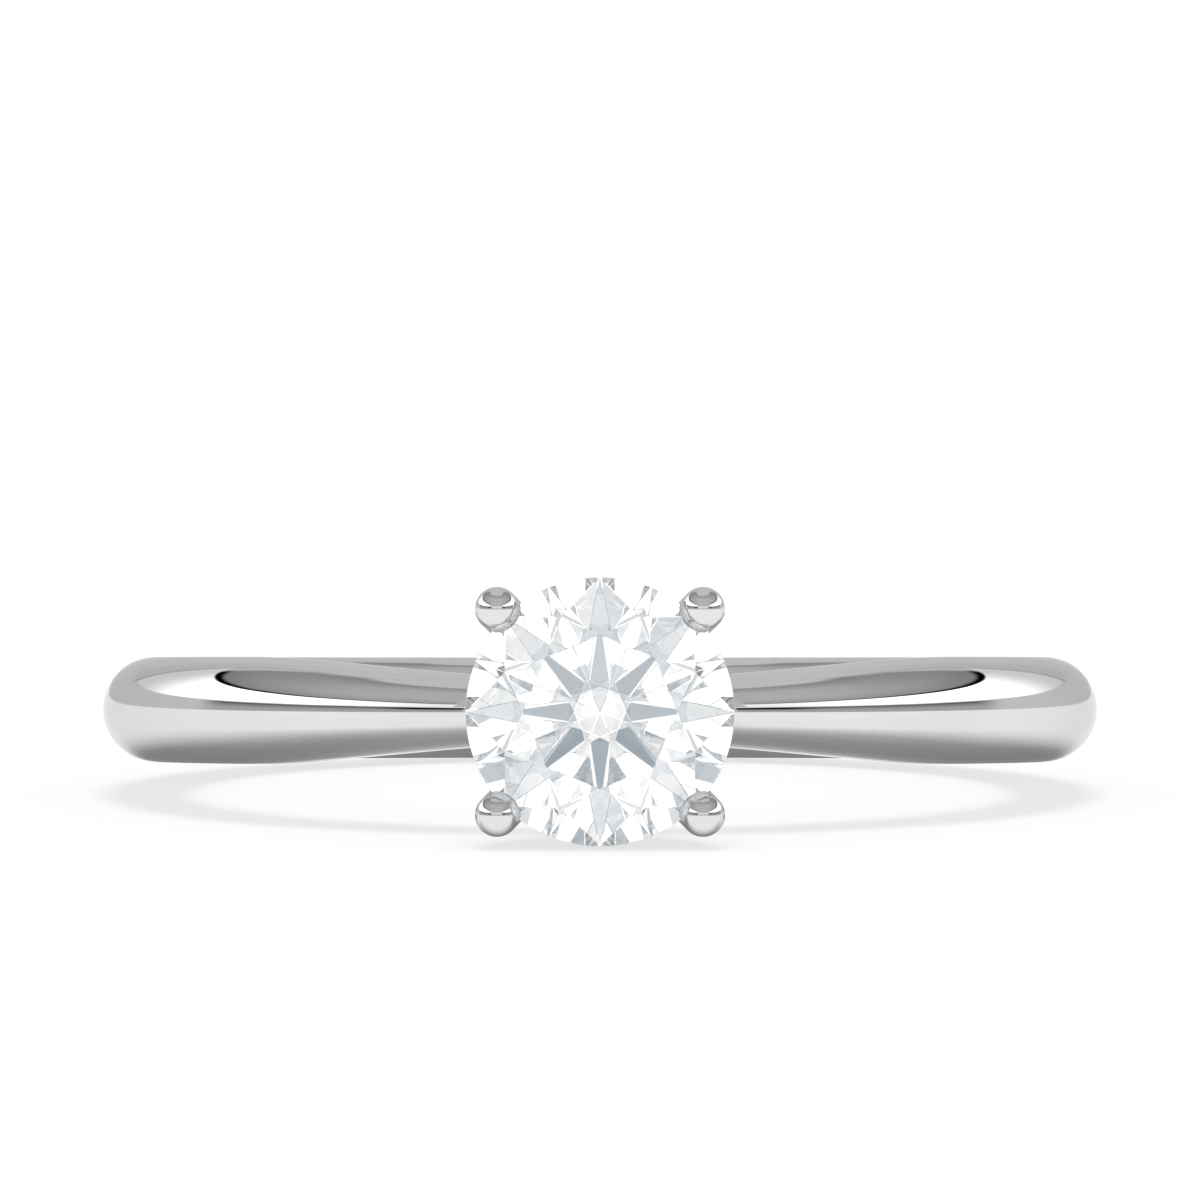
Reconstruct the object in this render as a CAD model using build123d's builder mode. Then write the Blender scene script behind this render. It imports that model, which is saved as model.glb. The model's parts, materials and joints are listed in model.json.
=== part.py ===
from build123d import *
import os
from math import cos, pi, radians, sin, tan

# Four-claw solitaire ring, in millimetres. The origin is the centre of the finger bore, +Z runs along
# the bore, and the stone faces -Y. A height is a distance from the bore's axis towards the stone.

# Shank
BORE_RADIUS = 8.25
CROWN_RADIUS = 10.0  # top of the band's dome at the sides and the back
HEAD_CROWN_RADIUS = 9.8
HALF_WIDTH = 1.05  # also the dome's own radius at the sides and the back
HEAD_HALF_WIDTH = 0.62
TAPER_ANGLE = 52.0  # degrees each side of the head over which the band narrows
TAPER_SPANS = 16
SECTION_ROOT = BORE_RADIUS - 0.45  # sections are drawn past the bore, which then cuts them
INNER_EDGE_RADIUS = 0.45  # generous, for comfort

# Stone, a round brilliant with 57 facets
STONE_RADIUS = 2.55
GIRDLE_HEIGHT = 12.35
GIRDLE_THICKNESS = 0.16
TABLE_RATIO = 0.57
CROWN_ANGLE = 34.5
STAR_RATIO = 0.5  # how far the star facets reach from the table to the girdle
PAVILION_ANGLE = 40.8
LOWER_HALF_RATIO = 0.78  # how far the lower halves reach from the girdle to the culet
MAIN_FACETS = 8

# Claws of round wire: distance from the stone's axis, then height
WIRE_RADIUS = 0.415
CLAW_FOOT = (0.8, 9.95)
CLAW_KNEE = (2.3, 11.2)
CLAW_TIP = (2.76, 12.62)
CLAW_BEND_RADIUS = 1.6
CLAW_AZIMUTHS = {
    "claw_upper_right": 45,
    "claw_upper_left": 135,
    "claw_lower_left": 225,
    "claw_lower_right": 315,
}

# Gallery rail, base cup and peg
RAIL_RADIUS = 1.72
RAIL_WIRE_RADIUS = 0.27
RAIL_HEIGHT = 11.12
CUP_FOOT_RADIUS = 0.75
CUP_RIM_RADIUS = 1.0
CUP_FOOT_HEIGHT = 9.45
CUP_FLARE_HEIGHT = 9.84
CUP_RIM_HEIGHT = 10.02
CUP_DISH_RADIUS = 0.72
CUP_DISH_DEPTH = 0.18
PEG_RADIUS = 0.45

OVERSHOOT = 1.0  # how far a cutter or a blank runs past what it cuts or is cut to
BORE_LENGTH = 2 * (HALF_WIDTH + OVERSHOOT)
FACET_STEP = 360 / MAIN_FACETS
GIRDLE_TOP = GIRDLE_HEIGHT + GIRDLE_THICKNESS / 2
GIRDLE_BOTTOM = GIRDLE_HEIGHT - GIRDLE_THICKNESS / 2
CROWN_SLOPE = tan(radians(CROWN_ANGLE))
PAVILION_SLOPE = tan(radians(PAVILION_ANGLE))
TABLE_RADIUS = STONE_RADIUS * TABLE_RATIO
TABLE_HEIGHT = GIRDLE_TOP + (STONE_RADIUS - TABLE_RADIUS) * CROWN_SLOPE
CULET_HEIGHT = GIRDLE_BOTTOM - STONE_RADIUS * PAVILION_SLOPE
STONE_MIDDLE = Vector(0, -GIRDLE_HEIGHT, 0)

os.makedirs("parts", exist_ok=True)


def radial_plane(angle):
    """The plane through the bore's axis at this angle from the head, x outwards and y up."""
    turn = radians(angle)
    return Plane((0, 0, 0), x_dir=(sin(turn), -cos(turn), 0), z_dir=(-cos(turn), -sin(turn), 0))


def head_plane(azimuth):
    """The plane through the stone's axis at this azimuth, x away from the axis and y to the stone."""
    turn = radians(azimuth)
    return Plane((0, 0, 0), x_dir=(cos(turn), 0, sin(turn)), z_dir=(sin(turn), 0, -cos(turn)))


def tapered(at_head, at_side, angle):
    """A smooth change from the head's value to the side's, over the taper."""
    share = min(abs(angle) / TAPER_ANGLE, 1)
    return at_head + (at_side - at_head) * (1 - cos(pi * share)) / 2


def band_section(angle):
    """The band's section at this angle from the head: a dome on straight flanks."""
    half_width = tapered(HEAD_HALF_WIDTH, HALF_WIDTH, angle)
    crown = tapered(HEAD_CROWN_RADIUS, CROWN_RADIUS, angle)
    shoulder = crown - half_width
    with BuildSketch(radial_plane(angle)) as section:
        with BuildLine():
            Polyline(
                (shoulder, -half_width),
                (SECTION_ROOT, -half_width),
                (SECTION_ROOT, half_width),
                (shoulder, half_width),
            )
            ThreePointArc((shoulder, half_width), (crown, 0), (shoulder, -half_width))
        make_face()
    return section.sketch


def stone_point(radius, height, azimuth):
    """A point of the stone from its distance to the stone's axis, its height and its azimuth."""
    turn = radians(azimuth)
    return Vector(radius * cos(turn), -height, radius * sin(turn))


def facet_plane(first, second, third):
    """The plane of a facet through three points, facing out of the stone."""
    normal = (second - first).cross(third - first).normalized()
    if normal.dot(first - STONE_MIDDLE) < 0:
        normal = -normal
    return Plane(origin=first, z_dir=normal)


def crown_facets(azimuth):
    """The bezel, star and two upper halves of one eighth of the crown."""
    half = FACET_STEP / 2
    edge_ratio = cos(radians(half))
    star_radius = TABLE_RADIUS * edge_ratio
    star_radius += (STONE_RADIUS - star_radius) * STAR_RATIO
    star_height = GIRDLE_TOP + (STONE_RADIUS - star_radius * edge_ratio) * CROWN_SLOPE
    corner = stone_point(TABLE_RADIUS, TABLE_HEIGHT, azimuth)
    next_corner = stone_point(TABLE_RADIUS, TABLE_HEIGHT, azimuth + FACET_STEP)
    star_tip = stone_point(star_radius, star_height, azimuth + half)
    last_star_tip = stone_point(star_radius, star_height, azimuth - half)
    foot = stone_point(STONE_RADIUS, GIRDLE_TOP, azimuth)
    next_foot = stone_point(STONE_RADIUS, GIRDLE_TOP, azimuth + FACET_STEP)
    between = stone_point(STONE_RADIUS, GIRDLE_TOP, azimuth + half)
    return [
        facet_plane(foot, star_tip, last_star_tip),
        facet_plane(corner, next_corner, star_tip),
        facet_plane(foot, between, star_tip),
        facet_plane(next_foot, between, star_tip),
    ]


def pavilion_facets(azimuth):
    """The main and two lower halves of one eighth of the pavilion."""
    half = FACET_STEP / 2
    tip_radius = STONE_RADIUS * (1 - LOWER_HALF_RATIO)
    tip_height = CULET_HEIGHT + tip_radius * cos(radians(half)) * PAVILION_SLOPE
    culet = stone_point(0, CULET_HEIGHT, azimuth)
    tip = stone_point(tip_radius, tip_height, azimuth + half)
    last_tip = stone_point(tip_radius, tip_height, azimuth - half)
    foot = stone_point(STONE_RADIUS, GIRDLE_BOTTOM, azimuth)
    next_foot = stone_point(STONE_RADIUS, GIRDLE_BOTTOM, azimuth + FACET_STEP)
    between = stone_point(STONE_RADIUS, GIRDLE_BOTTOM, azimuth + half)
    return [
        facet_plane(culet, tip, last_tip),
        facet_plane(foot, between, tip),
        facet_plane(next_foot, between, tip),
    ]


# Shank: the shoulders lofted through tapering sections, the rest revolved, then the bore cut through
# and its edges rounded, a flat milled across the head for the cup, and a hole drilled for the peg
steps = [2 * span / TAPER_SPANS - 1 for span in range(TAPER_SPANS + 1)]
with BuildPart() as shank:
    loft([band_section(TAPER_ANGLE * step) for step in steps])
    revolve(band_section(TAPER_ANGLE), axis=Axis.Z, revolution_arc=360 - 2 * TAPER_ANGLE)
    Cylinder(BORE_RADIUS, BORE_LENGTH, mode=Mode.SUBTRACT)
    bore_rims = shank.faces().filter_by(GeomType.CYLINDER).edges().filter_by(GeomType.LINE, reverse=True)
    fillet(bore_rims, INNER_EDGE_RADIUS)
    with BuildSketch(Plane.XZ.offset(CUP_FOOT_HEIGHT)):
        Circle(CUP_FOOT_RADIUS)
    extrude(amount=HEAD_CROWN_RADIUS + OVERSHOOT - CUP_FOOT_HEIGHT, mode=Mode.SUBTRACT)
    with BuildSketch(Plane.XZ.offset(BORE_RADIUS - OVERSHOOT)):
        Circle(PEG_RADIUS)
    extrude(amount=CUP_FOOT_HEIGHT - BORE_RADIUS + 2 * OVERSHOOT, mode=Mode.SUBTRACT)
shank.part.label = "shank"
export_step(shank.part, "parts/shank.step")

# Peg: from the cup's foot through the band, filed flush with the bore
with BuildPart() as peg:
    with BuildSketch(Plane.XZ.offset(BORE_RADIUS - OVERSHOOT)):
        Circle(PEG_RADIUS)
    extrude(amount=CUP_FOOT_HEIGHT - BORE_RADIUS + OVERSHOOT)
    Cylinder(BORE_RADIUS, BORE_LENGTH, mode=Mode.SUBTRACT)
peg.part.label = "peg"
export_step(peg.part, "parts/peg.step")

# Base cup: turned, with a dish that clears the culet
with BuildPart() as base_cup:
    with BuildSketch(head_plane(0)):
        with BuildLine():
            Polyline(
                (0, CUP_FOOT_HEIGHT),
                (CUP_FOOT_RADIUS, CUP_FOOT_HEIGHT),
                (CUP_FOOT_RADIUS, CUP_FLARE_HEIGHT),
                (CUP_RIM_RADIUS, CUP_RIM_HEIGHT),
                (CUP_DISH_RADIUS, CUP_RIM_HEIGHT),
                (0, CUP_RIM_HEIGHT - CUP_DISH_DEPTH),
                close=True,
            )
        make_face()
    revolve(axis=Axis.Y)
base_cup.part.label = "base_cup"
export_step(base_cup.part, "parts/base_cup.step")

# Diamond: a round blank with the table and every facet cut by its plane
facets = [Plane(origin=(0, -TABLE_HEIGHT, 0), z_dir=(0, -1, 0))]
for number in range(MAIN_FACETS):
    facets += crown_facets(number * FACET_STEP) + pavilion_facets(number * FACET_STEP)
with BuildPart() as diamond:
    with BuildSketch(Plane.XZ.offset(CULET_HEIGHT - OVERSHOOT)):
        Circle(STONE_RADIUS)
    extrude(amount=TABLE_HEIGHT - CULET_HEIGHT + 2 * OVERSHOOT)
    for facet in facets:
        split(bisect_by=facet, keep=Keep.BOTTOM)
diamond.part.label = "diamond"
export_step(diamond.part, "parts/diamond.step")

# Gallery rail: a round wire ring just under the stone
with BuildPart() as gallery_rail:
    with BuildSketch(head_plane(0)):
        with Locations((RAIL_RADIUS, RAIL_HEIGHT)):
            Circle(RAIL_WIRE_RADIUS)
    revolve(axis=Axis.Y)
gallery_rail.part.label = "gallery_rail"
export_step(gallery_rail.part, "parts/gallery_rail.step")

# Claws: bent round wire with a ball tip, coped to the cup and the band, notched over the rail, with a
# seat cut for the stone
neighbours = [base_cup.part, shank.part, gallery_rail.part, diamond.part]
for name, azimuth in CLAW_AZIMUTHS.items():
    side = head_plane(azimuth)
    tip = stone_point(*CLAW_TIP, azimuth)
    with BuildPart() as claw:
        with BuildLine(side) as wire:
            FilletPolyline(CLAW_FOOT, CLAW_KNEE, CLAW_TIP, radius=CLAW_BEND_RADIUS)
        with BuildSketch(Plane(origin=wire.line @ 0, z_dir=wire.line % 0)):
            Circle(WIRE_RADIUS)
        sweep()
        with Locations(tip):
            Sphere(WIRE_RADIUS)
        add(neighbours, mode=Mode.SUBTRACT)
    claw.part.label = name
    export_step(claw.part, f"parts/{name}.step")
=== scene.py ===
import json
from math import asin, atan2, cos, degrees, pi, radians, sin, tan

import bmesh
import bpy
from mathutils import Matrix, Vector


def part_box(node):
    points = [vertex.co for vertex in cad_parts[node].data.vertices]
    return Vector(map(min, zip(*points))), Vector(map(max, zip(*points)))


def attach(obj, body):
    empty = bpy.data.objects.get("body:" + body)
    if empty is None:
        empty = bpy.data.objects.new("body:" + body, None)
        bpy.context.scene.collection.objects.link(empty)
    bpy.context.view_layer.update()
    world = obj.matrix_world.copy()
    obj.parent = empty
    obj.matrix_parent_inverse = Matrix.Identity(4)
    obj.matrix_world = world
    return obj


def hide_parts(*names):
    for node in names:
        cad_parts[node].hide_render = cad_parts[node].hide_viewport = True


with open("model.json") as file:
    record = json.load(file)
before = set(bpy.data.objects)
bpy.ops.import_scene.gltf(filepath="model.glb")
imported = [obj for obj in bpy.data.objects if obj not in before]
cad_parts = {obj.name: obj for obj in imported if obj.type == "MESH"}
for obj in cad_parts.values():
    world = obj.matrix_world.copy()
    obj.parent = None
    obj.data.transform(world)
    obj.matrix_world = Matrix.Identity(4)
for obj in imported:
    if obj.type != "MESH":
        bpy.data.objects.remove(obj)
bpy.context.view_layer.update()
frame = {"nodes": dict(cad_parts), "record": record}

# A four-claw solitaire ring, in metres, in the CAD's frame: the origin is the centre of the finger
# bore, +Z runs along the bore, and the stone faces -Y. A height is a distance from the bore's axis
# towards the stone, and an angle along the band is measured from the head.

MM = 0.001
ROOT = "root"
SAME_POINT = 1e-8  # points of a mesh closer than this are one
NEXT_TO_NOTHING = 1e-9
OVERSHOOT = 1.0 * MM  # how far a cutter or a blank runs past what it cuts or is cut to

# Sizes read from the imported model
BAND_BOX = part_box("shank")
STONE_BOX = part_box("diamond")
CUP_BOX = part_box("base_cup")
RAIL_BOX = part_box("gallery_rail")
BORE_RADIUS = frame["record"]["mounts"][0]["dims"]["r_mm"] * MM
CROWN_RADIUS = BAND_BOX[1].x
HALF_WIDTH = BAND_BOX[1].z
STONE_RADIUS = STONE_BOX[1].x
TABLE_HEIGHT = -STONE_BOX[0].y
CULET_HEIGHT = -STONE_BOX[1].y
CUP_FOOT_HEIGHT = -CUP_BOX[1].y
CUP_RIM_HEIGHT = -CUP_BOX[0].y
CUP_RIM_RADIUS = CUP_BOX[1].x
RAIL_WIRE_RADIUS = (RAIL_BOX[1].y - RAIL_BOX[0].y) / 2
RAIL_RADIUS = RAIL_BOX[1].x - RAIL_WIRE_RADIUS
RAIL_HEIGHT = -(RAIL_BOX[0].y + RAIL_BOX[1].y) / 2

# The CAD's own driving sizes that no box gives
HEAD_CROWN_RADIUS = 9.8 * MM
HEAD_HALF_WIDTH = 0.62 * MM
TAPER_ANGLE = 52.0
INNER_EDGE_RADIUS = 0.45 * MM
CUP_FOOT_RADIUS = 0.75 * MM
CUP_FLARE_HEIGHT = 9.84 * MM
CUP_DISH_RADIUS = 0.72 * MM
CUP_DISH_DEPTH = 0.18 * MM
PEG_RADIUS = 0.45 * MM
WIRE_RADIUS = 0.415 * MM
CLAW_FOOT = Vector((0.8, 9.95)) * MM
CLAW_KNEE = Vector((2.3, 11.2)) * MM
CLAW_TIP = Vector((2.76, 12.62)) * MM
CLAW_BEND_RADIUS = 1.6 * MM
TABLE_RATIO = 0.57
CROWN_ANGLE = 34.5
STAR_RATIO = 0.5
PAVILION_ANGLE = 40.8
LOWER_HALF_RATIO = 0.78
MAIN_FACETS = 8
FACET_STEP = 360 / MAIN_FACETS
CROWN_SLOPE = tan(radians(CROWN_ANGLE))
PAVILION_SLOPE = tan(radians(PAVILION_ANGLE))
TABLE_RADIUS = STONE_RADIUS * TABLE_RATIO
GIRDLE_TOP = TABLE_HEIGHT - (STONE_RADIUS - TABLE_RADIUS) * CROWN_SLOPE
GIRDLE_BOTTOM = CULET_HEIGHT + STONE_RADIUS * PAVILION_SLOPE
CLAW_AZIMUTHS = {
    "claw_upper_right": 45,
    "claw_upper_left": 135,
    "claw_lower_left": 225,
    "claw_lower_right": 315,
}

SHARP_ANGLE = 32.0  # degrees between faces beyond which an edge is shown sharp


# ---------- meshes ----------

def new_object(name, data):
    piece = bpy.data.objects.new(name, data)
    bpy.context.scene.collection.objects.link(piece)
    return piece


def grid_mesh(name, rows, closed_rows, caps=False):
    """A mesh through rows of points, each row a closed loop; caps closes the first and last row."""
    mesh = bpy.data.meshes.new(name)
    width = len(rows[0])
    points = [point for row in rows for point in row]
    faces = []
    for i in range(len(rows) - (0 if closed_rows else 1)):
        first, second = i * width, (i + 1) % len(rows) * width
        for j in range(width):
            k = (j + 1) % width
            faces.append((first + j, first + k, second + k, second + j))
    if caps:
        faces.append(tuple(reversed(range(width))))
        faces.append(tuple((len(rows) - 1) * width + j for j in range(width)))
    mesh.from_pydata([tuple(point) for point in points], [], faces)
    tidy_normals(mesh)
    return mesh


def tidy_normals(mesh):
    """Turns every face outwards and merges points that coincide."""
    shape = bmesh.new()
    shape.from_mesh(mesh)
    bmesh.ops.remove_doubles(shape, verts=shape.verts, dist=SAME_POINT)
    bmesh.ops.recalc_face_normals(shape, faces=shape.faces)
    shape.to_mesh(mesh)
    shape.free()


def cut(piece, *tools):
    """Cuts the tools' shapes out of a piece, for good."""
    for tool in tools:
        step = piece.modifiers.new("cut", "BOOLEAN")
        step.operation = "DIFFERENCE"
        step.solver = "EXACT"
        step.object = tool
    graph = bpy.context.evaluated_depsgraph_get()
    mesh = bpy.data.meshes.new_from_object(piece.evaluated_get(graph))
    piece.modifiers.clear()
    piece.data = mesh


def shade(piece):
    piece.data.shade_smooth()
    piece.data.set_sharp_from_angle(angle=radians(SHARP_ANGLE))


def head_point(radius, height, azimuth):
    """A point from its distance to the stone's axis, its height, and its azimuth about that axis."""
    turn = radians(azimuth)
    return Vector((radius * cos(turn), -height, radius * sin(turn)))


def lathe(name, profile, sides):
    """A solid turned about the stone's axis from (radius, height) points that start and end on it."""
    rows = []
    for radius, height in profile:
        radius = max(radius, NEXT_TO_NOTHING)
        rows.append([head_point(radius, height, 360 * side / sides) for side in range(sides)])
    return grid_mesh(name, rows, closed_rows=False, caps=True)


# ---------- band ----------

BAND_STEPS = 720
DOME_STEPS = 26
EDGE_STEPS = 12
QUARTER = pi / 2


def tapered(at_head, at_side, angle):
    share = min(abs(angle) / TAPER_ANGLE, 1)
    return at_head + (at_side - at_head) * (1 - cos(pi * share)) / 2


def band_section(angle):
    """The band's outline at this angle as (radius, z): dome, straight flanks, rounded edges, bore."""
    half_width = tapered(HEAD_HALF_WIDTH, HALF_WIDTH, angle)
    crown = tapered(HEAD_CROWN_RADIUS, CROWN_RADIUS, angle)
    dome = crown - half_width
    upper = []
    for step in range(DOME_STEPS + 1):
        turn = QUARTER * step / DOME_STEPS
        upper.append((dome + half_width * cos(turn), half_width * sin(turn)))
    edge_radius, edge_z = BORE_RADIUS + INNER_EDGE_RADIUS, half_width - INNER_EDGE_RADIUS
    for step in range(EDGE_STEPS + 1):
        turn = QUARTER * (1 + step / EDGE_STEPS)
        upper.append((
            edge_radius + INNER_EDGE_RADIUS * cos(turn),
            edge_z + INNER_EDGE_RADIUS * sin(turn),
        ))
    upper.append((BORE_RADIUS, edge_z / 2))
    lower = [(radius, -z) for radius, z in upper[:0:-1]]
    return upper + [(BORE_RADIUS, 0)] + lower


def make_shank(cutters):
    rows = []
    for step in range(BAND_STEPS):
        angle = 360 * step / BAND_STEPS - 180
        turn = radians(angle)
        rows.append([(r * sin(turn), -r * cos(turn), z) for r, z in band_section(angle)])
    shank = new_object("shank_polished", grid_mesh("shank_polished", rows, closed_rows=True))
    cut(shank, *cutters)
    shade(shank)
    return shank


# ---------- head ----------

TURNED_SIDES = 128
RAIL_SIDES = 32
WIRE_SIDES = 64
STRAIGHT_STEPS = 6
BEND_STEPS = 20
BALL_STEPS = 20


def make_cup():
    profile = [
        (0, CUP_FOOT_HEIGHT),
        (CUP_FOOT_RADIUS, CUP_FOOT_HEIGHT),
        (CUP_FOOT_RADIUS, CUP_FLARE_HEIGHT),
        (CUP_RIM_RADIUS, CUP_RIM_HEIGHT),
        (CUP_DISH_RADIUS, CUP_RIM_HEIGHT),
        (0, CUP_RIM_HEIGHT - CUP_DISH_DEPTH),
    ]
    cup = new_object("base_cup_turned", lathe("base_cup_turned", profile, TURNED_SIDES))
    shade(cup)
    return cup


def make_rail():
    rows = []
    for step in range(TURNED_SIDES):
        azimuth = 360 * step / TURNED_SIDES
        row = []
        for side in range(RAIL_SIDES):
            turn = 2 * pi * side / RAIL_SIDES
            radius = RAIL_RADIUS + RAIL_WIRE_RADIUS * cos(turn)
            row.append(head_point(radius, RAIL_HEIGHT + RAIL_WIRE_RADIUS * sin(turn), azimuth))
        rows.append(row)
    rail = new_object("gallery_rail_wire", grid_mesh("gallery_rail_wire", rows, closed_rows=True))
    shade(rail)
    return rail


def claw_path():
    """The claw's centre line as (radius, height) points and directions: straight, bend, straight."""
    into = (CLAW_KNEE - CLAW_FOOT).normalized()
    out = (CLAW_TIP - CLAW_KNEE).normalized()
    turn = atan2(into.x * out.y - into.y * out.x, into.dot(out))
    reach = CLAW_BEND_RADIUS * tan(turn / 2)
    start = CLAW_KNEE - into * reach
    centre = start + Vector((-into.y, into.x)) * CLAW_BEND_RADIUS
    end = CLAW_KNEE + out * reach
    stations = []
    for step in range(STRAIGHT_STEPS + 1):
        stations.append((CLAW_FOOT.lerp(start, step / STRAIGHT_STEPS), into))
    for step in range(1, BEND_STEPS + 1):
        spin = Matrix.Rotation(turn * step / BEND_STEPS, 2)
        stations.append((centre + spin @ (start - centre), spin @ into))
    for step in range(1, STRAIGHT_STEPS + 1):
        stations.append((end.lerp(CLAW_TIP, step / STRAIGHT_STEPS), out))
    return stations


def make_claw(name, azimuth, cutters):
    """Round wire along the claw's path, ending in half a ball, with its seats and notches cut."""
    rows = []
    stations = [(point, heading, WIRE_RADIUS) for point, heading in claw_path()]
    tip, heading = stations[-1][:2]
    for step in range(1, BALL_STEPS):
        turn = QUARTER * step / BALL_STEPS
        stations.append((tip + heading * WIRE_RADIUS * sin(turn), heading, WIRE_RADIUS * cos(turn)))
    outward = head_point(1, 0, azimuth)
    upward = Vector((0, -1, 0))
    sideways = outward.cross(upward)
    for point, heading, radius in stations:
        middle = outward * point.x + upward * point.y
        across = outward * heading.y - upward * heading.x
        row = []
        for side in range(WIRE_SIDES):
            turn = 2 * pi * side / WIRE_SIDES
            row.append(middle + (across * cos(turn) + sideways * sin(turn)) * radius)
        rows.append(row)
    claw = new_object(name, grid_mesh(name, rows, closed_rows=False, caps=True))
    cut(claw, *cutters)
    shade(claw)
    return claw


# ---------- stone ----------

GIRDLE_SIDES = 96
FACET_EDGE = 0.008 * MM
FLATTEST_EDGE = 1.0  # degrees; a flatter edge is left alone
UPRIGHT_LEAN = 0.01  # the most that an upright face's normal leans along the stone's axis
SAME_CORNER = 2e-8  # corners of the stone closer than this are one


def facet_planes():
    """Each facet's plane as three points: table, bezels, stars, upper halves, mains, lower halves."""
    half = FACET_STEP / 2
    edge_ratio = cos(radians(half))
    star_radius = TABLE_RADIUS * edge_ratio
    star_radius += (STONE_RADIUS - star_radius) * STAR_RATIO
    star_height = GIRDLE_TOP + (STONE_RADIUS - star_radius * edge_ratio) * CROWN_SLOPE
    low_radius = STONE_RADIUS * (1 - LOWER_HALF_RATIO)
    low_height = CULET_HEIGHT + low_radius * edge_ratio * PAVILION_SLOPE
    culet = head_point(0, CULET_HEIGHT, 0)
    planes = [[head_point(TABLE_RADIUS, TABLE_HEIGHT, turn) for turn in (0, 90, 180)]]
    for number in range(MAIN_FACETS):
        main = number * FACET_STEP
        here, there = main + half, main + FACET_STEP
        star, last_star = (head_point(star_radius, star_height, turn) for turn in (here, main - half))
        low, last_low = (head_point(low_radius, low_height, turn) for turn in (here, main - half))
        corner, next_corner = (head_point(TABLE_RADIUS, TABLE_HEIGHT, turn) for turn in (main, there))
        tops = [head_point(STONE_RADIUS, GIRDLE_TOP, turn) for turn in (main, here, there)]
        bottoms = [head_point(STONE_RADIUS, GIRDLE_BOTTOM, turn) for turn in (main, here, there)]
        planes.append([tops[0], star, last_star])
        planes.append([corner, next_corner, star])
        planes.append([tops[0], tops[1], star])
        planes.append([tops[2], tops[1], star])
        planes.append([culet, low, last_low])
        planes.append([bottoms[0], bottoms[1], low])
        planes.append([bottoms[2], bottoms[1], low])
    return planes


def soften_facet_edges(shape):
    """Breaks every edge between two facets by a hair; the girdle's own uprights stay as they are."""
    edges = [
        edge for edge in shape.edges
        if len(edge.link_faces) == 2
        and edge.calc_face_angle() > radians(FLATTEST_EDGE)
        and not all(abs(face.normal.y) < UPRIGHT_LEAN for face in edge.link_faces)
    ]
    bmesh.ops.bevel(
        shape, geom=edges, offset=FACET_EDGE, segments=1, affect="EDGES", clamp_overlap=True
    )
    bmesh.ops.recalc_face_normals(shape, faces=shape.faces)


STONE_MIDDLE = head_point(0, (TABLE_HEIGHT + CULET_HEIGHT) / 2, 0)


def make_diamond():
    """A round blank with every facet cut by its plane."""
    blank = [(STONE_RADIUS, CULET_HEIGHT - OVERSHOOT), (STONE_RADIUS, TABLE_HEIGHT + OVERSHOOT)]
    mesh = lathe("diamond_faceted", blank, GIRDLE_SIDES)
    shape = bmesh.new()
    shape.from_mesh(mesh)
    for first, second, third in facet_planes():
        normal = (second - first).cross(third - first).normalized()
        if normal.dot(first - STONE_MIDDLE) < 0:
            normal.negate()
        parts = shape.verts[:] + shape.edges[:] + shape.faces[:]
        cut_line = bmesh.ops.bisect_plane(
            shape, geom=parts, dist=NEXT_TO_NOTHING, plane_co=first, plane_no=normal, clear_outer=True
        )["geom_cut"]
        rim = [part for part in cut_line if isinstance(part, bmesh.types.BMEdge)]
        bmesh.ops.contextual_create(shape, geom=rim)
    bmesh.ops.remove_doubles(shape, verts=shape.verts, dist=SAME_CORNER)
    bmesh.ops.recalc_face_normals(shape, faces=shape.faces)
    soften_facet_edges(shape)
    shape.to_mesh(mesh)
    shape.free()
    return new_object("diamond_faceted", mesh)


# ---------- shapes that only cut ----------

NOTCH_CLEARANCE = 0.02 * MM


def make_cutter(name, radius, low, high):
    """A plain cylinder on the stone's axis."""
    return new_object(name, lathe(name, [(radius, low), (radius, high)], TURNED_SIDES))


def make_notch_cutter(stone):
    """The stone grown by a hair, so that the claws' notches don't share its very surface."""
    cutter = new_object("notch_cutter", stone.data.copy())
    growth = 1 + NOTCH_CLEARANCE / STONE_RADIUS
    for corner in cutter.data.vertices:
        corner.co = STONE_MIDDLE + (corner.co - STONE_MIDDLE) * growth
    return cutter


# ---------- nodes ----------

def feed(tree, socket, given):
    """Sets a socket to a number, or links it to another node's output."""
    if isinstance(given, (int, float)):
        socket.default_value = given
    else:
        tree.links.new(given, socket)


def value_of(tree, operation, *inputs):
    node = tree.nodes.new("ShaderNodeMath")
    node.operation = operation
    for socket, given in zip(node.inputs, inputs):
        feed(tree, socket, given)
    return node.outputs[0]


def product(tree, first, second):
    return value_of(tree, "MULTIPLY", first, second)


def difference(tree, first, second):
    return value_of(tree, "SUBTRACT", first, second)


def sloped(tree, given, slope, start):
    """start where given is 0, and slope more for each 1 of it."""
    return value_of(tree, "MULTIPLY_ADD", given, slope, start)


def ramp(tree, given, low, high):
    """0 below low and 1 above high, smooth between them."""
    node = tree.nodes.new("ShaderNodeMapRange")
    node.interpolation_type = "SMOOTHSTEP"
    tree.links.new(given, node.inputs["Value"])
    node.inputs["From Min"].default_value = low
    node.inputs["From Max"].default_value = high
    return node.outputs["Result"]


def ramp_about(tree, given, edge, soft):
    """0 below the edge and 1 above it, over this half-width."""
    if isinstance(edge, (int, float)):
        return ramp(tree, given, edge - soft, edge + soft)
    return ramp(tree, difference(tree, given, edge), -soft, soft)


def between(tree, given, low, high, soft_low, soft_high):
    """1 between low and high, with soft edges of these half-widths."""
    rises = ramp_about(tree, given, low, soft_low)
    falls = ramp_about(tree, given, high, soft_high)
    return product(tree, rises, difference(tree, 1, falls))


def blend(tree, below, above, share):
    """below where share is 0 and above where it is 1."""
    node = tree.nodes.new("ShaderNodeMix")
    node.data_type = "FLOAT"
    for socket, given in ((node.inputs[0], share), (node.inputs[2], below), (node.inputs[3], above)):
        feed(tree, socket, given)
    return node.outputs[0]


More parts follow.
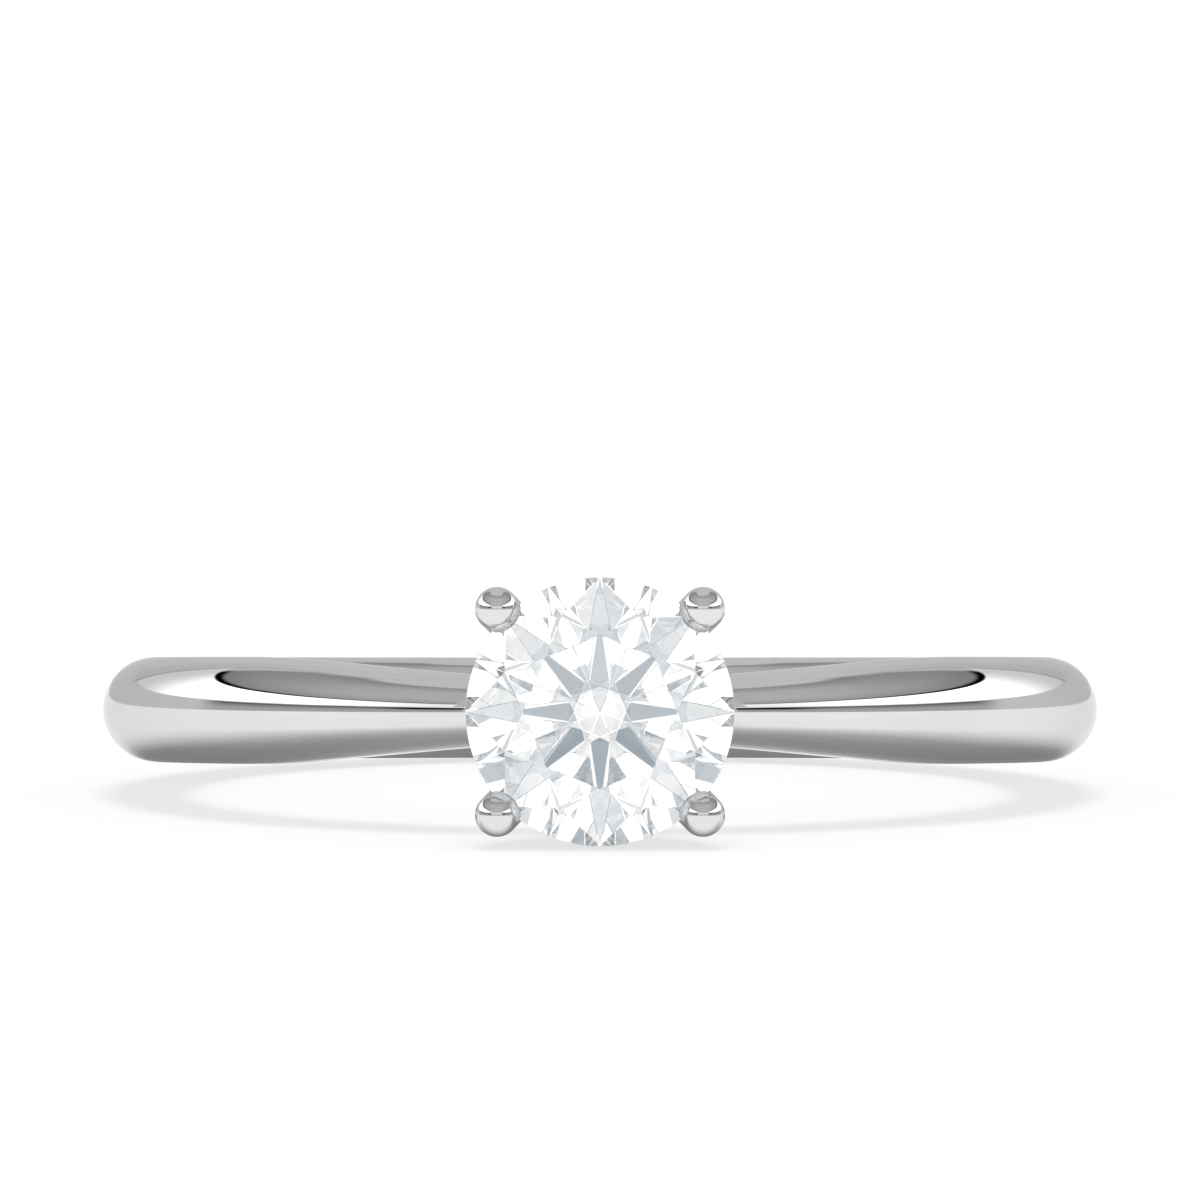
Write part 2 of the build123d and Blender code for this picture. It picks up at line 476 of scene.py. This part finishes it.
def steps(tree, given, levels, changes):
    """The first level, turning into each next one while given goes through that one's change."""
    level = levels[0]
    for next_level, change in zip(levels[1:], changes):
        level = blend(tree, level, next_level, ramp(tree, given, *change))
    return level


def grey(level):
    return (level, level, level, 1)


def new_material(name):
    material = bpy.data.materials.new(name)
    material.use_nodes = True
    return material, material.node_tree, material.node_tree.nodes["Principled BSDF"]


def noise(tree, vector, scale, detail=3.0):
    node = tree.nodes.new("ShaderNodeTexNoise")
    node.inputs["Scale"].default_value = scale
    node.inputs["Detail"].default_value = detail
    tree.links.new(vector, node.inputs["Vector"])
    return node.outputs[0]


def stretched(tree, vector, scale):
    """The same position with each axis scaled, so that noise on it runs in lines."""
    node = tree.nodes.new("ShaderNodeVectorMath")
    node.operation = "MULTIPLY"
    node.inputs[1].default_value = scale
    tree.links.new(vector, node.inputs[0])
    return node.outputs[0]


def object_position(tree):
    return tree.nodes.new("ShaderNodeTexCoord").outputs["Object"]


def parts_of(tree, vector):
    """A vector's x, y and z."""
    split = tree.nodes.new("ShaderNodeSeparateXYZ")
    tree.links.new(vector, split.inputs[0])
    return split.outputs


def joined(tree, x, y, z):
    node = tree.nodes.new("ShaderNodeCombineXYZ")
    for socket, given in zip(node.inputs, (x, y, z)):
        feed(tree, socket, given)
    return node.outputs[0]


def length(tree, first, second):
    squared = value_of(tree, "MULTIPLY_ADD", first, first, product(tree, second, second))
    return value_of(tree, "SQRT", squared)


def around_bore(tree):
    """A position as (length round the band, distance from the bore's axis, z)."""
    x, y, z = parts_of(tree, object_position(tree))
    turn = value_of(tree, "ARCTAN2", x, product(tree, y, -1))
    return joined(tree, product(tree, turn, BORE_RADIUS), length(tree, x, y), z)


# ---------- materials ----------

POLISHED_BASE = (0.738, 0.762)
POLISHED_ROUGHNESS = (0.018, 0.05)
GRAZING_TINT = 0.83
CLOUD_SCALE = 420.0
CLOUD_RANGE = (0.35, 0.65)  # of the noise, over which a cloud fades in
SMEAR_SCALE = 1500.0
SMEAR_RANGE = (0.3, 0.7)
HAIRLINE_SCALE = 9000.0
HAIRLINE_DETAIL = 1.0
HAIRLINE_DEPTH = 0.0006 * MM
HAIRLINE_STRENGTH = 0.5
BAND_LINES = (0.05, 1, 1)  # the polish runs round the band
HEAD_LINES = (1, 0.3, 1)  # and up the claws


def polished_metal(name, position, line_stretch):
    """Mirror-polished platinum: clouds of slightly duller polish, and hairlines the buff has left."""
    material, tree, shader = new_material(name)
    place = position(tree)
    lines = stretched(tree, place, line_stretch)
    clouds = ramp(tree, noise(tree, place, CLOUD_SCALE), *CLOUD_RANGE)
    tint = blend(tree, *POLISHED_BASE, clouds)
    colour = tree.nodes.new("ShaderNodeCombineColor")
    for channel in colour.inputs:
        tree.links.new(tint, channel)
    tree.links.new(colour.outputs[0], shader.inputs["Base Color"])
    smears = ramp(tree, noise(tree, lines, SMEAR_SCALE), *SMEAR_RANGE)
    tree.links.new(blend(tree, *POLISHED_ROUGHNESS, smears), shader.inputs["Roughness"])
    hairlines = tree.nodes.new("ShaderNodeBump")
    hairlines.inputs["Distance"].default_value = HAIRLINE_DEPTH
    hairlines.inputs["Strength"].default_value = HAIRLINE_STRENGTH
    tree.links.new(noise(tree, lines, HAIRLINE_SCALE, HAIRLINE_DETAIL), hairlines.inputs["Height"])
    tree.links.new(hairlines.outputs[0], shader.inputs["Normal"])
    shader.inputs["Metallic"].default_value = 1.0
    shader.inputs["Specular Tint"].default_value = grey(GRAZING_TINT)
    return material


DIAMOND_IOR = 2.417
GIRDLE_RIM = (0.994, 0.998)  # of the stone's radius, where the ground girdle begins
GIRDLE_EDGE = 0.004 * MM
GIRDLE_FROST = (0.224, 0.32)
GRAIN_SCALE = 6000.0
FACET_SHEEN = 0.004


def diamond_glass():
    """Clear stone with mirror facets and a finely ground girdle."""
    material, tree, shader = new_material("diamond")
    place = object_position(tree)
    x, y, z = parts_of(tree, place)
    rim_from, rim_full = (share * STONE_RADIUS for share in GIRDLE_RIM)
    at_rim = ramp(tree, length(tree, x, z), rim_from, rim_full)
    low, high = GIRDLE_BOTTOM + GIRDLE_EDGE, GIRDLE_TOP - GIRDLE_EDGE
    in_girdle = between(tree, product(tree, y, -1), low, high, GIRDLE_EDGE, GIRDLE_EDGE)
    grain = blend(tree, *GIRDLE_FROST, noise(tree, place, GRAIN_SCALE))
    sheen = product(tree, noise(tree, place, CLOUD_SCALE), FACET_SHEEN)
    frost = blend(tree, sheen, grain, product(tree, at_rim, in_girdle))
    tree.links.new(frost, shader.inputs["Roughness"])
    shader.inputs["Base Color"].default_value = grey(1.0)
    shader.inputs["IOR"].default_value = DIAMOND_IOR
    shader.inputs["Transmission Weight"].default_value = 1.0
    return material


# ---------- floor and light ----------

TILT_ROUNDS = 8


def floor_tilt():
    """The floor's slope in the ring's frame: the ring rests on the girdle and on the band's back."""
    span = GIRDLE_BOTTOM + CROWN_RADIUS - HALF_WIDTH
    tilt = 0.0
    for _ in range(TILT_ROUNDS):
        tilt = asin((STONE_RADIUS * cos(tilt) - HALF_WIDTH) / span)
    return tilt


FLOOR_TILT = floor_tilt()
FLOOR_RADIUS = 1.5
FLOOR_SIDES = 96
FLOOR_GAP = 0.02 * MM
FLOOR_ALBEDO = 0.8
SHADOW_SEEN = 0.25  # how much of the floor's own shade the camera sees through the white
FLOOR_MIRRORED = 1.05  # the open floor's brightness in reflections
CONTACT_SHADE = 0.3  # painted shade: the floor's brightness in reflections right under the ring
CONTACT_REACH = 3 * MM
CONTACT_SAMPLES = 12
CONTACT_RANGE = (0.68, 1.04)  # of openness, over which the painted shade ends
CONTACT_LEAN_SIDE = 0.06 / MM  # the painted shade is read leaning this much outwards per metre of x
CONTACT_LEAN_BACK = 0.3  # and this much backwards in the middle
CONTACT_LEAN_FRONT = 0.04 / MM  # and this much more per metre towards the head
HEAD_LIT = (12.4 * MM, 13.1 * MM)  # in front of the head the painted shade ends and the floor is at full brightness again
BACK_SHADE = 0.62  # painted shade on the far floor straight behind, where it meets the wall
BACK_REACH = (18 * MM, 45 * MM)
BACK_SPREAD = (0.15, 0.25)  # across, per metre of depth
TOP_LIGHT_STRENGTH = 2.2
TOP_LIGHT_SPREAD = 28.0


def mix_shaders(tree, share, first, second):
    node = tree.nodes.new("ShaderNodeMixShader")
    feed(tree, node.inputs[0], share)
    tree.links.new(first, node.inputs[1])
    tree.links.new(second, node.inputs[2])
    return node.outputs[0]


def floor_openness(tree, x, y):
    """How open the floor is to the light, read from ambient occlusion, for the painted shade in
    reflections: 0 right under the ring, and 1 clear of it.
    """
    lean = joined(
        tree,
        product(tree, x, CONTACT_LEAN_SIDE),
        sloped(tree, y, -CONTACT_LEAN_FRONT, CONTACT_LEAN_BACK),
        1.0,
    )
    upright = tree.nodes.new("ShaderNodeVectorMath")
    upright.operation = "NORMALIZE"
    tree.links.new(lean, upright.inputs[0])
    closeness = tree.nodes.new("ShaderNodeAmbientOcclusion")
    closeness.samples = CONTACT_SAMPLES
    closeness.inputs["Distance"].default_value = CONTACT_REACH
    tree.links.new(upright.outputs[0], closeness.inputs["Normal"])
    openness = ramp(tree, closeness.outputs["AO"], *CONTACT_RANGE)
    return blend(tree, openness, 1, ramp(tree, product(tree, y, -1), *HEAD_LIT))


def floor_glow_with_painted_shade(tree):
    """The floor as the metal mirrors it: a glow with painted shade round the ring and a painted darker
    grey far behind.
    """
    x, y, _ = parts_of(tree, object_position(tree))
    spread = value_of(tree, "DIVIDE", value_of(tree, "ABSOLUTE", x), y)
    straight_back = difference(tree, 1, ramp(tree, spread, *BACK_SPREAD))
    at_back = product(tree, straight_back, ramp(tree, y, *BACK_REACH))
    # painted shade: the glow dims towards CONTACT_SHADE where the ring closes in
    brightness = blend(tree, CONTACT_SHADE, FLOOR_MIRRORED, floor_openness(tree, x, y))
    mirrored = tree.nodes.new("ShaderNodeEmission")
    # painted shade again: greyer on the far floor straight behind
    tree.links.new(blend(tree, brightness, BACK_SHADE, at_back), mirrored.inputs["Strength"])
    return mirrored.outputs[0]


def floor_material():
    material, tree, shader = new_material("studio_floor")
    shader.inputs["Base Color"].default_value = grey(FLOOR_ALBEDO)
    shader.inputs["Roughness"].default_value = 1.0
    shader.inputs["Specular IOR Level"].default_value = 0.0
    white = tree.nodes.new("ShaderNodeEmission")
    seen = mix_shaders(tree, 1 - SHADOW_SEEN, shader.outputs[0], white.outputs[0])
    rays = tree.nodes.new("ShaderNodeLightPath")
    # the camera sees white over the floor's real shade; every other ray sees the glow with painted shade
    whole = mix_shaders(tree, rays.outputs["Is Camera Ray"], floor_glow_with_painted_shade(tree), seen)
    tree.links.new(whole, tree.nodes["Material Output"].inputs["Surface"])
    return material


def make_floor():
    normal = Vector((0, -sin(FLOOR_TILT), cos(FLOOR_TILT)))
    along = Vector((0, cos(FLOOR_TILT), sin(FLOOR_TILT)))
    middle = Vector((0, -GIRDLE_BOTTOM, -STONE_RADIUS)) - normal * FLOOR_GAP
    rim = []
    for side in range(FLOOR_SIDES):
        turn = 2 * pi * side / FLOOR_SIDES
        rim.append(middle + (Vector((cos(turn), 0, 0)) + along * sin(turn)) * FLOOR_RADIUS)
    mesh = bpy.data.meshes.new("studio_floor")
    mesh.from_pydata([tuple(point) for point in rim], [], [tuple(range(FLOOR_SIDES))])
    mesh.materials.append(floor_material())
    floor = new_object("studio_floor", mesh)
    floor.visible_transmission = False


def make_top_light():
    """A wide soft light straight above the floor, which lights and shades it but isn't mirrored."""
    data = bpy.data.lights.new("top_light", "SUN")
    data.energy = TOP_LIGHT_STRENGTH
    data.angle = radians(TOP_LIGHT_SPREAD)
    light = new_object("top_light", data)
    light.rotation_euler = (FLOOR_TILT, 0, 0)
    light.visible_glossy = False
    light.visible_transmission = False


# ---------- studio as the metal mirrors it ----------

# Everything here is placed by direction, in degrees in the floor's frame. Side is 0 at the camera and
# 180 straight behind, alike on the left and the right, and rise is 0 at the horizon. Levels and changes
# are read by steps(): each change is a pair of angles over which one level turns into the next. A soft
# edge is given by its half-width.

ROOM_LEVELS = (0.62, 0.72)
ROOM_CHANGES = [(158, 172)]
ROOM_TOP_LEVEL = 0.66
ROOM_TOP_CHANGE = (30, 60)
FLOOR_BELOW = 1.1
HORIZON_CHANGE = (-0.3, 0.3)

# the low wall beside and behind: a skirting with a dark top edge, pale towards the back
LOW_LEVELS = (0.46, 0.24)
LOW_CHANGES = [(4, 11)]
LOW_TOP_CHANGE = (12, 13)
LOW_EDGE_LEVEL = 0.13
LOW_EDGE_SPAN = (10.5, 13, 1, 0.5)
LOW_BACK_LEVEL = 0.67
LOW_BACK_CHANGE = (97, 110)

# the white strip box above it, whose top edge climbs towards the back, where it fades
STRIP_LEVELS = (1.1, 1.9, 0.8)
STRIP_CHANGES = [(30, 80), (112, 146)]
STRIP_SPAN = (28, 151, 2, 2)
STRIP_BOTTOM = (-0.009, 14.6)  # slope with side, and where it starts
STRIP_TOP = (0.108, 19.7)
STRIP_SOFT = (1, 0.5)

# the grey card above the strip box, with a black lower edge and a slanting back edge
CARD_LEVELS = (0.54, 0.33)
CARD_CHANGES = [(40, 140)]
CARD_UPPER_SHADES = (1, 0.75)
CARD_UPPER_CHANGES = [(55, 68)]
CARD_LOWER_SHADES = (0.8, 1)
CARD_LOWER_CHANGES = [(2, 14)]  # above the strip box
CARD_FRONT = 32.2
CARD_TOP = (-0.142, 81)
CARD_BACK = (-1.2, 144)  # slope with rise above the corner, and where it starts
CARD_CORNER = 52
CARD_SOFT_SIDES = (0.5, 3)
CARD_SOFT_ENDS = (0.4, 2)
CARD_LINE_WIDTH = (0.012, 0.75)
CARD_LINE_SOFT = 1.0

# the front, round the camera: a pale strip low down, then greys up to the ceiling
FRONT_ENDS = (28.8, 31.6)
FRONT_END_CHANGES = [(13.5, 15)]
FRONT_SOFT = 0.5
FRONT_LEVELS = (0.66, 1.0, 0.58, 0.45, 0.66)
FRONT_CHANGES = [(7, 11), (14, 17), (52, 66), (74.5, 78.5)]

# the black slot low in front of each strip box
SLOT_SIDES = (28.6, 46, 0.6, 6)
SLOT_RISES = (7.5, 12.1, 2.4, 0.8)

# a thin dark frame along the back edges of the strip box and the card
FRAME_LEVEL = 0.45
FRAME_SIDES = (152.5, 132)
FRAME_CHANGES = [(40, 72)]
FRAME_LINE = (-0.8, 0.8, 0.8, 0.8)
FRAME_RISES = (12, 70, 1, 6)


def with_low_wall(tree, level, side, rise):
    wall = steps(tree, rise, LOW_LEVELS, LOW_CHANGES)
    wall = blend(tree, wall, LOW_EDGE_LEVEL, between(tree, rise, *LOW_EDGE_SPAN))
    wall = blend(tree, wall, LOW_BACK_LEVEL, ramp(tree, side, *LOW_BACK_CHANGE))
    return blend(tree, level, wall, difference(tree, 1, ramp(tree, rise, *LOW_TOP_CHANGE)))


def with_strip_box(tree, level, side, rise, top):
    bottom = sloped(tree, side, *STRIP_BOTTOM)
    across = between(tree, side, *STRIP_SPAN)
    inside = product(tree, between(tree, rise, bottom, top, *STRIP_SOFT), across)
    return blend(tree, level, steps(tree, side, STRIP_LEVELS, STRIP_CHANGES), inside)


def with_card(tree, level, side, rise, strip_top):
    over_strip = difference(tree, rise, strip_top)
    past_corner = value_of(tree, "MAXIMUM", difference(tree, rise, CARD_CORNER), 0)
    shade_up = steps(tree, rise, CARD_UPPER_SHADES, CARD_UPPER_CHANGES)
    shade_low = steps(tree, over_strip, CARD_LOWER_SHADES, CARD_LOWER_CHANGES)
    card = steps(tree, side, CARD_LEVELS, CARD_CHANGES)
    card = product(tree, product(tree, card, shade_up), shade_low)
    back = sloped(tree, past_corner, *CARD_BACK)
    across = between(tree, side, CARD_FRONT, back, *CARD_SOFT_SIDES)
    upright = between(tree, rise, strip_top, sloped(tree, side, *CARD_TOP), *CARD_SOFT_ENDS)
    inside = product(tree, across, upright)
    level = blend(tree, level, card, inside)
    over_line = difference(tree, over_strip, sloped(tree, side, *CARD_LINE_WIDTH))
    line = difference(tree, 1, ramp_about(tree, over_line, 0.0, CARD_LINE_SOFT))
    return blend(tree, level, 0.0, product(tree, inside, line))


def with_front(tree, level, side, rise):
    end = steps(tree, rise, FRONT_ENDS, FRONT_END_CHANGES)
    inside = difference(tree, 1, ramp_about(tree, side, end, FRONT_SOFT))
    return blend(tree, level, steps(tree, rise, FRONT_LEVELS, FRONT_CHANGES), inside)


def with_slot(tree, level, side, rise):
    inside = product(tree, between(tree, side, *SLOT_SIDES), between(tree, rise, *SLOT_RISES))
    return blend(tree, level, 0.0, inside)


def with_frame(tree, level, side, rise):
    from_edge = difference(tree, side, steps(tree, rise, FRAME_SIDES, FRAME_CHANGES))
    inside = product(tree, between(tree, from_edge, *FRAME_LINE), between(tree, rise, *FRAME_RISES))
    return blend(tree, level, FRAME_LEVEL, inside)


def studio_level(tree, direction):
    """The studio's brightness in a direction, as the metal mirrors it."""
    turn = tree.nodes.new("ShaderNodeMapping")
    turn.vector_type = "POINT"
    turn.inputs["Rotation"].default_value = (-FLOOR_TILT, 0, 0)
    tree.links.new(direction, turn.inputs["Vector"])
    x, y, z = parts_of(tree, turn.outputs["Vector"])
    rise = product(tree, value_of(tree, "ARCSINE", z), degrees(1))
    side = value_of(tree, "ARCTAN2", value_of(tree, "ABSOLUTE", x), product(tree, y, -1))
    side = product(tree, side, degrees(1))
    strip_top = sloped(tree, side, *STRIP_TOP)
    level = steps(tree, side, ROOM_LEVELS, ROOM_CHANGES)
    level = blend(tree, level, ROOM_TOP_LEVEL, ramp(tree, rise, *ROOM_TOP_CHANGE))
    level = with_low_wall(tree, level, side, rise)
    level = with_strip_box(tree, level, side, rise, strip_top)
    level = with_card(tree, level, side, rise, strip_top)
    level = with_front(tree, level, side, rise)
    level = with_slot(tree, level, side, rise)
    level = with_frame(tree, level, side, rise)
    return blend(tree, FLOOR_BELOW, level, ramp(tree, rise, *HORIZON_CHANGE))


# ---------- studio as it shows through the stone ----------

# A white tent, by degrees off the lens's axis: pale round the lens, a grey card round that, then white
# cloth with grey folds and ribs, and greyer ends. Folds and ribs are waves in the direction round the
# axis, and their twist is in radians for each degree off it.

LENS_LEVELS = (0.95, 0.78)
LENS_CHANGES = [(5, 7)]
ROUND_CARD_LEVEL = (0.14, 0.46)  # slope with lift, which is -1 straight down and 1 up, and the middle
ROUND_CARD_CHANGE = (10.8, 11.6)
CLOTH_LEVEL = 1.5
CLOTH_CHANGE = (16.5, 18)
FOLD_LEVEL = 0.98
FOLD_COUNT = 17
FOLD_TWIST = -0.4
FOLD_WAVE = (-0.7, -0.1)
FOLDS_END = (23, 24)
RIB_LEVEL = 0.62
RIB_COUNT = 13
RIB_TWIST = 0.3
RIB_WAVE = (0.45, 0.75)
RIB_SPAN = (15, 23, 0.6, 1)
END_LEVELS = (0.62, 0.85)
END_CHANGES = [(43, 46), (58, 64)]
BELOW_LEVEL = 0.45  # a darker panel straight below the lens
BELOW_WIDTH = (30, 40)
BELOW_SPAN = (24, 44, 2, 2)
SMALLEST_SINE = 0.01
COOL_GAINS = (1.12, 1.02, 0.94)  # red, green and blue per level, which makes its greys bluish
COOL_STARTS = (-0.132, -0.022, 0.066)  # and each one's value where the level is 0


def wave(tree, around, off_lens, count, twist):
    return value_of(tree, "SINE", sloped(tree, around, count, product(tree, off_lens, twist)))


def tent_colour(tree, direction):
    """The tent's colour in a direction, as it shows through the stone."""
    across, forward, upward = parts_of(tree, direction)
    off_lens = product(tree, value_of(tree, "ARCCOSINE", product(tree, forward, -1)), degrees(1))
    off_sine = value_of(tree, "SINE", value_of(
        tree, "MAXIMUM", product(tree, off_lens, radians(1)), SMALLEST_SINE
    ))
    lift = product(tree, upward, value_of(tree, "DIVIDE", 1, off_sine))
    around = value_of(tree, "ARCTAN2", across, product(tree, upward, -1))
    folds = ramp(tree, wave(tree, around, off_lens, FOLD_COUNT, FOLD_TWIST), *FOLD_WAVE)
    cloth = blend(tree, FOLD_LEVEL, CLOTH_LEVEL, folds)
    tent = steps(tree, off_lens, LENS_LEVELS, LENS_CHANGES)
    round_card = sloped(tree, lift, *ROUND_CARD_LEVEL)
    tent = blend(tree, tent, round_card, ramp(tree, off_lens, *ROUND_CARD_CHANGE))
    tent = blend(tree, tent, cloth, ramp(tree, off_lens, *CLOTH_CHANGE))
    tent = blend(tree, tent, CLOTH_LEVEL, ramp(tree, off_lens, *FOLDS_END))
    tent = steps(tree, off_lens, (tent,) + END_LEVELS, END_CHANGES)
    ribs = ramp(tree, wave(tree, around, off_lens, RIB_COUNT, RIB_TWIST), *RIB_WAVE)
    ribs = product(tree, ribs, between(tree, off_lens, *RIB_SPAN))
    tent = blend(tree, tent, RIB_LEVEL, ribs)
    off_down = product(tree, value_of(tree, "ABSOLUTE", around), degrees(1))
    below = difference(tree, 1, ramp(tree, off_down, *BELOW_WIDTH))
    below = product(tree, below, between(tree, off_lens, *BELOW_SPAN))
    tent = blend(tree, tent, BELOW_LEVEL, below)
    cool = tree.nodes.new("ShaderNodeCombineColor")
    for channel, gain, start in zip(cool.inputs, COOL_GAINS, COOL_STARTS):
        tree.links.new(sloped(tree, tent, gain, start), channel)
    return cool.outputs[0]


def make_world():
    """White to the camera, the studio to the metal, and the tent through the stone."""
    world = bpy.data.worlds.new("studio")
    bpy.context.scene.world = world
    world.use_nodes = True
    tree = world.node_tree
    direction = tree.nodes.new("ShaderNodeTexCoord").outputs["Generated"]
    rays = tree.nodes.new("ShaderNodeLightPath")
    level = blend(tree, studio_level(tree, direction), 1.0, rays.outputs["Is Camera Ray"])
    colour = tree.nodes.new("ShaderNodeMix")
    colour.data_type = "RGBA"
    tree.links.new(rays.outputs["Is Transmission Ray"], colour.inputs[0])
    tree.links.new(level, colour.inputs[6])
    tree.links.new(tent_colour(tree, direction), colour.inputs[7])
    tree.links.new(colour.outputs[2], tree.nodes["Background"].inputs["Color"])


# ---------- camera ----------

CAMERA_DISTANCE = 210 * MM
CAMERA_HEIGHT = 0.85 * MM
CAMERA_LENS = 312.75  # in mm, as is the sensor
CAMERA_SENSOR = 36
CAMERA_CLIP = (0.01, 10)
RING_BELOW_CENTRE = 0.6002  # degrees from the view's centre down to the ring's centre


def make_camera():
    data = bpy.data.cameras.new("camera")
    data.lens = CAMERA_LENS
    data.sensor_width = CAMERA_SENSOR
    data.clip_start, data.clip_end = CAMERA_CLIP
    camera = new_object("camera", data)
    camera.location = (0, -CAMERA_DISTANCE, CAMERA_HEIGHT)
    rise = RING_BELOW_CENTRE - degrees(atan2(CAMERA_HEIGHT, CAMERA_DISTANCE))
    camera.rotation_euler = (radians(90 + rise), 0, 0)
    bpy.context.scene.camera = camera


# ---------- build ----------

STONE_BOUNCES = 32
METAL_BOUNCES = 12


def dress(piece, material, slot_name, *nodes):
    piece.data.materials.clear()
    piece.data.materials.append(material)
    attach(piece, ROOT)
    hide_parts(*nodes)


band_metal = polished_metal("platinum_band", around_bore, BAND_LINES)
head_metal = polished_metal("platinum_head", object_position, HEAD_LINES)
stone_glass = diamond_glass()

seat_cutter = make_cutter("seat_cutter", CUP_FOOT_RADIUS, CUP_FOOT_HEIGHT, CUP_RIM_HEIGHT)
hole_cutter = make_cutter(
    "hole_cutter", PEG_RADIUS, BORE_RADIUS - OVERSHOOT, CUP_FOOT_HEIGHT + OVERSHOOT / 2
)
shank = make_shank([seat_cutter, hole_cutter])
cup = make_cup()
rail = make_rail()
diamond = make_diamond()
dress(shank, band_metal, "band_platinum", "shank")
dress(cup, head_metal, "head_platinum", "base_cup")
dress(rail, head_metal, "head_platinum", "gallery_rail")
dress(diamond, stone_glass, "diamond", "diamond")
notch_cutter = make_notch_cutter(diamond)
for node, azimuth in CLAW_AZIMUTHS.items():
    claw = make_claw(node + "_wire", azimuth, [cup, rail, notch_cutter, shank])
    dress(claw, head_metal, "head_platinum", node)
for cutter in (seat_cutter, hole_cutter, notch_cutter):
    bpy.data.objects.remove(cutter)
peg = frame["nodes"]["peg"]
peg.data.materials.clear()
peg.data.materials.append(head_metal)

make_floor()
make_top_light()
make_world()
make_camera()
scene = bpy.context.scene
scene.view_settings.view_transform = "Standard"
scene.cycles.max_bounces = STONE_BOUNCES
scene.cycles.transmission_bounces = STONE_BOUNCES
scene.cycles.glossy_bounces = METAL_BOUNCES
scene.cycles.use_denoising = True
scene.cycles.caustics_reflective = False
scene.cycles.caustics_refractive = False
